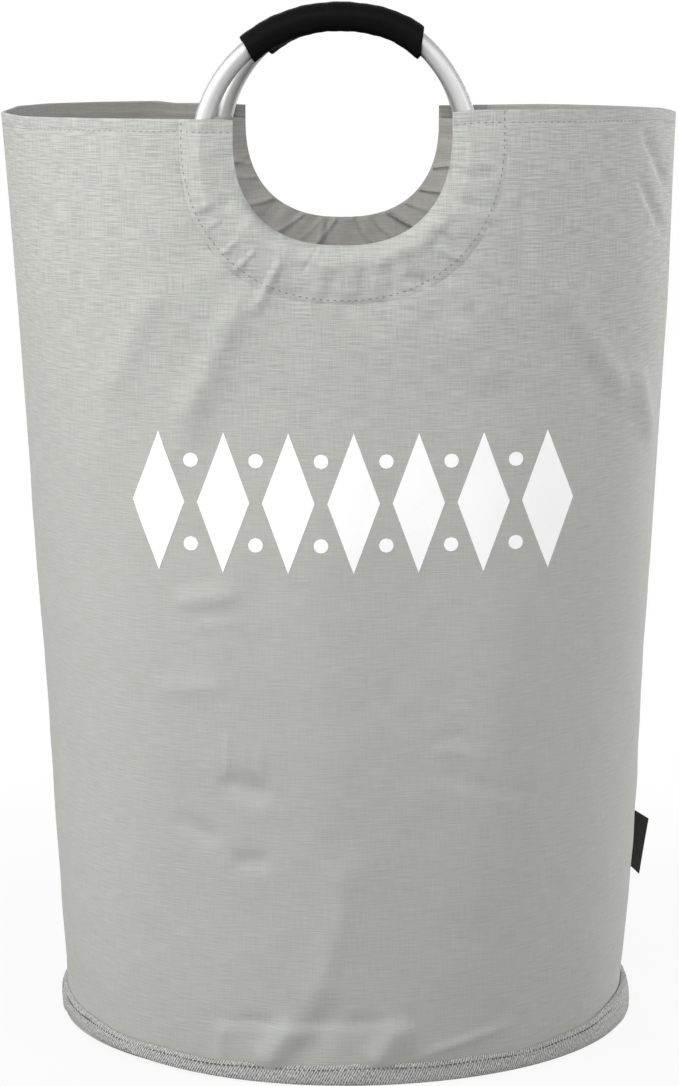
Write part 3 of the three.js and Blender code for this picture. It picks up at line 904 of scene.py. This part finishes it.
def grip(side):
    """Foam tube with soft ends that are cut a little askew, a little uneven along its length."""
    half = GRIP_LENGTH / 2 / RING_RADIUS
    middle = np.linspace(-0.93, 0.93, GRIP_STEPS)
    shares = np.concatenate([GRIP_END_SHARES, middle, -GRIP_END_SHARES[::-1]])
    full = TUBE_RADIUS + SEAM_GAP + GRIP_WALL
    radii = full + 0.00012 * np.sin(shares * 17) + 0.0001 * np.sin(shares * 41 + 1)
    radii += np.concatenate([GRIP_ROUNDING, 0 * middle, GRIP_ROUNDING[::-1]])
    inside = np.linspace(1, -1, GRIP_STEPS + 1)
    radii = np.concatenate([radii, np.full_like(inside, TUBE_RADIUS + SEAM_GAP / 2)])
    shares = np.concatenate([shares, inside])
    left, right = GRIP_SKEW[side]
    points, uvs = [], []
    for share, radius in zip(shares, radii):
        skew = left * max(0, -share) ** 6 + right * max(0, share) ** 6
        for turn in full_turn(GRIP_SIDES):
            angle = share * half + skew * math.cos(turn) / 2
            points.append(ring_point(side, angle, radius * math.cos(turn), radius * math.sin(turn)))
            uvs.append((turn * full, angle * RING_RADIUS))
    faces = grid_faces(len(shares), GRIP_SIDES, wrap=True)
    last = (len(shares) - 1) * GRIP_SIDES
    for j in range(GRIP_SIDES):
        k = (j + 1) % GRIP_SIDES
        faces.append((last + j, last + k, k, j))
    return placed(make_mesh(f"{side}_grip_foam", points, faces, uvs, (foam_material,)), side)


# Base

# Section of the binding from under the wall to its lip: distance out, height, and share of its full height
BINDING_SECTION = [
    (-0.0006, 0.0022, 0),
    (0.0005, 0.0010, 0),
    (0.0024, 0.0002, 0),
    (0.0036, 0.0006, 0),
    (0.0043, 0.0022, 0),
    (0.0042, 0, 0.35),
    (0.0036, 0, 0.62),
    (0.0026, 0, 0.84),
    (0.0019, 0, 0.95),
    (0.0011, 0, 1.0),
    (0.0003, 0, 0.97),
]


def binding_top(turn):
    """Height of the binding's top edge, higher at the side seams."""
    sides = np.abs(np.sin(turn)) ** 6
    return BINDING_HEIGHT + 0.0085 * sides + 0.0009 * np.sin(5 * turn + 1) + 0.0005 * np.sin(17 * turn)


def binding_left(turn, middle, half):
    """1 at the left, where the binding turns up off the floor and in under the wall, 0 away from there."""
    return bell((np.degrees(turn) - middle) / half)


def binding_drawn(turn):
    """How far the binding is drawn in at the side seams."""
    return np.where(np.sin(turn) < 0, 0.0020, 0.0009) * np.abs(np.sin(turn)) ** 6


def base_binding():
    """Folded tape round the seam of wall and base, drawn in here and there by its stitches."""
    turn = full_turn(BINDING_STEPS)
    top = binding_top(turn)
    to_right = np.clip(np.sin(turn), 0, 1) ** 10
    flare = 0.0006 * np.sin(9 * turn + 2) + 0.0005 * np.sin(31 * turn) + 0.0030 * to_right
    left = binding_left(turn, 298, 30)
    far_left = binding_left(turn, 278, 26)
    rows = []
    for k, (out, height, share) in enumerate(BINDING_SECTION):
        z = height + share * top
        r = BASE_RADIUS + out + flare * (k / len(BINDING_SECTION)) * (3 < k < 9)
        r = r + 0.0007 * left * smooth((k - 6) / 4) - binding_drawn(turn) * smooth((k - 4) / 6)
        r = r - 0.0040 * far_left * (1 - 0.6 * smooth((k - 3) / 5))
        rows.append(round_points(r, turn, z + 0.0050 * left * (1 - z / top)))
    outer = np.stack(rows)
    centre = round_points(BASE_RADIUS - 0.0002, turn, top * 0.5)
    inner = lerp(outer, centre, np.array([0.3, 0.3, 0.12]))
    reach = np.cumsum(np.linalg.norm(np.diff(outer, axis=0, prepend=outer[:1]), axis=-1), axis=0)
    uv = stacked(turn * BASE_RADIUS, reach)
    girth = 2 * math.pi * BASE_RADIUS
    return shell("base_binding_tape", outer, inner, uv, binding_material, binding_material, True, girth)


def binding_stitches():
    """Row of stitches a little below the binding's top edge."""
    turn = np.linspace(0, 2 * math.pi, BINDING_LINE_STEPS)
    radius = BASE_RADIUS + 0.0031 - 0.7 * binding_drawn(turn) - 0.0018 * binding_left(turn, 278, 26)
    points = round_points(radius, turn, binding_top(turn) * 0.80)
    outward = round_points(1.0, turn, 0.0)
    name = "base_binding_stitches"
    return stitch_row(name, points, outward, dark_thread_material, length=0.0018, gap=0.0012, width=0.00045)


def base_cloth():
    """Round base cloth: flat on the floor in the middle, up to the seam at its edge."""
    turn = full_turn(DISC_STEPS)
    outside = BASE_RADIUS - CLOTH - SEAM_GAP
    profile = [(0.0005, 0.0), (0.06, 0.0), (0.12, 0.0), (REST_RADIUS - 0.01, 0.0), (REST_RADIUS, 0.0003)]
    for t in np.linspace(0.15, 1, 8):
        profile.append((lerp(REST_RADIUS, outside - 0.002, t), 0.0096 * t**1.3 + 0.0003))
    profile += [(outside - CLOTH - 0.0001, 0.0103), (outside, 0.0112)]
    rows = []
    for r, z in profile:
        slope = smooth((r - REST_RADIUS) / 0.01) * smooth((outside - r) / 0.004)
        rows.append(round_points(r, turn, z + np.abs(0.0006 * np.sin(24 * turn) * slope)))
    under = np.stack(rows)
    over = under + np.array([0, 0, CLOTH * 0.9])
    uv = under[..., :2].copy()
    return shell("base_cloth_disc", over, under, uv, shaded_lining_material, cloth_material, wrap=True)


# Seams and label

def seam_tape(word, low, high, name):
    """Bound seam allowance that stands up inside the bag along a side seam."""
    hand = HANDS[word]
    z = np.linspace(low, high, max(8, int((high - low) / 0.006)))
    outer_x = wall_section(z)[0] + seam_push(hand, z) - waist(1.0, z) - CLOTH - SEAM_GAP
    turn = full_turn(FIN_SIDES)
    across_x = SEAM_FIN_DEPTH / 2 * np.sign(np.cos(turn)) * np.abs(np.cos(turn)) ** 0.35
    across_y = SEAM_FIN_THICKNESS / 2 * np.sign(np.sin(turn)) * np.abs(np.sin(turn)) ** 0.6
    wave = 0.0006 * np.sin(z * 60 + hand) + 0.0004 * np.sin(z * 170)
    x = hand * (outer_x[:, None] - SEAM_FIN_DEPTH / 2 + across_x)
    y = across_y + wave[:, None] * (0.5 - across_x / SEAM_FIN_DEPTH)
    points, uv = stacked(x, y, z[:, None]), stacked(turn * 0.004, z[:, None])
    return make_mesh(f"{word}_{name}", points, tube_faces(len(z), FIN_SIDES), uv, (binding_material,))


def side_label():
    """Blank loop of narrow satin tape: two plies in the seam, joined by a soft fold at the outer edge."""
    t = np.linspace(0, math.pi, LABEL_STEPS)
    s = np.linspace(0, 1, LABEL_ROWS)[:, None]
    bulge = np.sin(t) ** 0.55
    reach = LABEL_WIDTH * bulge
    ply = 0.0007 * np.cos(t) * (0.55 + 0.45 * np.sin(t))
    curl = 0.0012 * np.sin(s * 3.0 + 0.4) * bulge
    height = LABEL_HEIGHT + s * LABEL_LENGTH
    half_width = wall_section(height)[0] + seam_push(1, LABEL_HEIGHT)
    x = half_width - 0.0004 + reach * lerp(0.85, 1.25, s)
    outer = stacked(x, ply + curl, height - 1.45 * LABEL_SKEW * bulge)
    inner = outer - stacked(0.0004 * np.sin(t), 0.00035 * np.cos(t), 0)
    uv = stacked(reach, s * LABEL_LENGTH)
    return shell("side_label_tape", outer, inner, uv, label_material, label_material)


# Stitches and print

def at_places(places, along, points):
    """Points between those of a row, whose places along it are known."""
    return np.stack([np.interp(places, along, column) for column in points.T], axis=-1)


def stitch_row(
    name, points, normals, material=shaded_thread_material, length=STITCH_LENGTH, gap=STITCH_GAP, width=THREAD_RADIUS
):
    """Row of single stitches along a line of points that lie on cloth."""
    along = path_length(points)
    sides, rings = 6, 5
    thickness = np.array([0.25, 0.85, 1, 0.85, 0.25])[:, None, None] * width
    arch = np.array([-1.0, 0.3, 0.7, 0.3, -1.0])[:, None] * width
    turns = full_turn(sides)[:, None]
    vertices, faces, uvs = [], [], []
    for start in np.arange(gap, along[-1] - length, length + gap):
        where = start + np.linspace(0, length, rings)
        out = at_places(where, along, normals)
        path = at_places(where, along, points) + out * arch
        beside = np.cross((path[-1] - path[0]) / np.linalg.norm(path[-1] - path[0]), out[2])
        thread = path[:, None] + thickness * (np.cos(turns) * beside * 1.2 + np.sin(turns) * out[:, None])
        faces += tube_faces(rings, sides, len(vertices))
        vertices.extend(thread.reshape(-1, 3))
        uvs.extend((place, k * 0.0003) for place in where for k in range(sides))
    return make_mesh(name, vertices, faces, uvs, (material,))


def wall_stitches(side, name, points, share, z, **look):
    """Row of stitches along a line on the wall or sleeve, made at the front and turned to its side."""
    nx, ny = wall_normal(share, z)
    normals = stacked(nx, ny, 0)
    turned = HALF_ROUND if side == BACK else 1
    return stitch_row(f"{side}_{name}_stitches", points * turned, normals * turned, **look)


def hem_stitches(side, word):
    z = BODY_HEIGHT - STITCH_LINE_DROP
    start = share_at(np.array(STITCH_HALF_WIDTH), z)
    share = HANDS[word] * np.linspace(start, 0.985, HEM_LINE_STEPS)
    z = np.full_like(share, z)
    return wall_stitches(side, f"{word}_hem", wall_cloth(side, share, z), share, z)


def sleeve_hem_stitches(side):
    """Rows of stitches across both mouths of a sleeve, below its rim."""
    outer = sleeve_layer(side, 1)[0] * (HALF_ROUND if side == BACK else 1)
    outward = np.array([[0, -1 if side == FRONT else 1, 0.0]])
    middle = len(outer) // 2
    name = f"{side}_sleeve_hem_stitches"
    made = []
    for arm in (outer[:middle], outer[:middle - 1:-1]):
        line = []
        for down in arm.swapaxes(0, 1)[1:-1]:
            up = down[np.argsort(down[:, 2])]
            line.append(at_places(down[0, 2] - STITCH_LINE_DROP, up[:, 2], up))
        made.append(stitch_row(name, np.array(line), np.repeat(outward, len(line), axis=0)))
    return joined(made, name)


def sleeve_stitches(side):
    """Row of stitches on the sleeve along a U that is rounder at its foot than the sleeve's own edge."""
    outer = sleeve_layer(side, 1)[0]
    down = below_centre(outer[..., 2])
    wide, deep = STITCH_HALF_WIDTH - SEAM_INSET, STITCH_DEPTH - SEAM_FOOT_INSET
    beyond = (np.abs(outer[..., 0]) / wide) ** SEAM_SQUARENESS + (down / deep) ** SEAM_SQUARENESS - 1
    line = np.array([at_places(0, far, arm) for far, arm in zip(beyond, outer)])
    share = share_at(line[:, 0], line[:, 2])
    # The darker thread of this row is painted shadow in the furrow of the stitch line.
    return wall_stitches(side, "sleeve", line, share, line[:, 2], material=shadowed_seam_thread_material)


def lozenge_half_width(t):
    return PRINT_HALF_WIDTH * (1 - np.abs(t)) + 1e-5


def dot_half_width(t):
    return DOT_RADIUS * np.sqrt(np.clip(1 - t * t, 0, 1)) + 1e-5


def print_shape(name, centre_x, centre_z, half_width_at, half_height, rows, columns):
    """One flat printed shape, symmetric about its middle, that follows the cloth."""
    t = np.linspace(-1, 1, rows + 1)[:, None]
    s = np.linspace(-1, 1, columns + 1)
    x = centre_x + half_width_at(t) * s
    z = centre_z + half_height * t + 0 * s
    share = share_at(x, z)
    outer = wall_cloth(FRONT, share, z, -PRINT_THICKNESS)
    inner = wall_cloth(FRONT, share, z, 0.0001)
    return shell(name, outer, inner, outer[..., [0, 2]], print_material, print_material)


def front_print():
    """A plain row of lozenges with dots between them."""
    middle_x, middle_z = PRINT_CENTRE
    made = []
    for i in range(PRINT_COUNT):
        x = middle_x - PRINT_PITCH * (PRINT_COUNT - 1) / 2 + i * PRINT_PITCH
        name = f"print_{i}"
        made.append(print_shape(name, x, middle_z, lozenge_half_width, PRINT_HALF_HEIGHT, 40, 14))
        for share in DOT_HEIGHT_SHARES if i else ():
            dot_x, dot_z = x - PRINT_PITCH / 2, middle_z + share * PRINT_HALF_HEIGHT
            made.append(print_shape(f"{name}_dot", dot_x, dot_z, dot_half_width, DOT_RADIUS, 16, 10))
    return joined(made, "front_print")


# Put together

def stands_for(piece, nodes):
    if nodes:
        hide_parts(*nodes)
    return piece


def rides(piece, body, slot, *nodes):
    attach(piece, body)
    return stands_for(piece, nodes)


def squashes(piece, slot, *nodes):
    """Attaches the lower wall and what is on it to the base, each with its own mesh."""
    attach(piece, "base")
    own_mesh(piece)
    return stands_for(piece, nodes)


def blends(piece, side, word, slot, *nodes):
    """Bakes the placing of a piece beside a sleeve into its mesh."""
    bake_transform(piece)
    return stands_for(piece, nodes)


def coated(node_name, material):
    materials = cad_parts[node_name].data.materials
    materials.clear()
    materials.append(material)


for side in (FRONT, BACK):
    wall = squashes(lower_wall(side), "cloth", f"{side}_wall")
    for word in HANDS:
        top = blends(top_wall(side, word), side, word, "cloth", f"{side}_top_wall")
        stitches = blends(hem_stitches(side, word), side, word, "cloth")
    pocket, on_ring = f"{side}_pocket", [f"{side}_ring_tube"]
    outer = rides(sleeve(side), pocket, "cloth", f"{side}_sleeve")
    stitches = rides(sleeve_stitches(side), pocket, "cloth")
    hem = rides(sleeve_hem_stitches(side), pocket, "cloth")
    lining = rides(sleeve_lining(side), pocket, "lining", f"{side}_sleeve_lining")
    rides(ring(side), f"{side}_handle", "aluminium", f"{side}_ring")
    rides(grip(side), f"{side}_handle", "foam", f"{side}_grip")
    coated(f"{side}_ring_plug", metal_material)

rides(base_binding(), "base", "tape", "base_binding")
rides(binding_stitches(), "base", "tape")
disc = rides(base_cloth(), "base", "cloth", "base_cloth")
coated("base_board", board_material)
for word in HANDS:
    low = seam_tape(word, BINDING_HEIGHT + SEAM_GAP, FOOT_HEIGHT, "seam_binding")
    squashes(low, "tape", f"{word}_seam_tape")
    high = seam_tape(word, FOOT_HEIGHT, HEM_START, "top_seam_binding")
    rides(high, "mouth", "tape", f"{word}_top_seam_tape")
rides(side_label(), "label", "label", "side_label")
squashes(front_print(), "cloth")


# Floor, light and camera

def seen_share(owner):
    """1 for rays from the camera, from gloss and through glass, which see the white background."""
    path = owner.node_tree.nodes.new("ShaderNodeLightPath").outputs
    share = maths(owner, "MAXIMUM", path["Is Camera Ray"], path["Is Glossy Ray"])
    return maths(owner, "MAXIMUM", share, path["Is Transmission Ray"])


def show_seen(owner, share, lit, seen, output):
    """Shows the lit shader, and the seen one to the share of rays that see the background."""
    mixed = node(owner, "ShaderNodeMixShader", {0: share, 1: lit, 2: seen})
    owner.node_tree.links.new(mixed, owner.node_tree.nodes[output].inputs["Surface"])


def floor_material():
    """Pale floor that keeps the shadow near the object and fades to the white background away from it."""
    material = new_material("pale_floor", (0.55, 0.55, 0.55), 0.9)
    white = node(material, "ShaderNodeEmission", {"Color": WHITE})
    place = node(material, "ShaderNodeTexCoord", {}, "Object")
    distance = node(material, "ShaderNodeVectorMath", {0: place}, "Value", operation="LENGTH")
    fade = {"Value": distance, "From Min": 0.25, "From Max": 0.9, "To Min": 0.9, "To Max": 1.0}
    whiter = node(material, "ShaderNodeMapRange", fade, interpolation_type="SMOOTHSTEP")
    share = maths(material, "MULTIPLY", seen_share(material), whiter)
    lit = material.node_tree.nodes["Principled BSDF"].outputs[0]
    show_seen(material, share, lit, white, "Material Output")
    return material


def studio():
    scene = bpy.context.scene
    scene.view_settings.view_transform = "Standard"
    bpy.ops.mesh.primitive_plane_add(size=12, location=(0, 0, 0))
    floor = bpy.context.object
    floor.name = "floor"
    floor.data.materials.append(floor_material())
    world = bpy.data.worlds.new("studio")
    scene.world = world
    world.use_nodes = True
    lit = world.node_tree.nodes["Background"]
    lit.inputs["Color"].default_value = WHITE
    lit.inputs["Strength"].default_value = 0.10
    seen = node(world, "ShaderNodeBackground", {"Color": WHITE, "Strength": 1.0})
    show_seen(world, seen_share(world), lit.outputs[0], seen, "World Output")


def lamp(name, place, aim, size, power):
    """Soft rectangular lamp, aimed at a height in the hamper's middle."""
    data = bpy.data.lights.new(name, "AREA")
    data.shape = "RECTANGLE"
    data.size, data.size_y = size
    data.energy = power
    obj = linked(name, data)
    obj.location = place
    obj.rotation_euler = (Vector((0, 0, aim)) - Vector(place)).to_track_quat("-Z", "Y").to_euler()


def camera():
    data = bpy.data.cameras.new("camera")
    data.sensor_width = SENSOR_SIZE
    data.sensor_fit = "AUTO"
    data.lens = SENSOR_SIZE * FOCAL_LENGTH / PHOTO_HEIGHT
    obj = linked("camera", data)
    obj.location = CAMERA_PLACE
    obj.rotation_euler = Euler((math.pi / 2 - CAMERA_PITCH, 0, 0))
    bpy.context.scene.camera = obj


studio()
lamp("key", (-1.95, -1.2, 1.85), 0.38, (0.9, 0.9), 40.6)
lamp("left_side", (-2.0, -0.3, 1.2), 0.38, (0.9, 0.9), 15.8)
lamp("upper", (-0.15, -1.05, 1.2), 0.42, (0.7, 0.4), 6.0)
lamp("upper_right", (0.5, -0.95, 1.25), 0.45, (0.7, 0.4), 1.9)
lamp("right_fill", (1.85, -1.2, 1.3), 0.38, (0.9, 0.9), 15.5)
lamp("right_side", (1.7, 0.3, 0.5), 0.38, (0.9, 0.9), 6.5)
lamp("right_edge", (1.6, 1.9, 0.55), 0.3, (0.8, 0.8), 28)
lamp("behind", (-0.4, 2.5, 1.5), 0.35, (1.2, 1.2), 28)
camera()
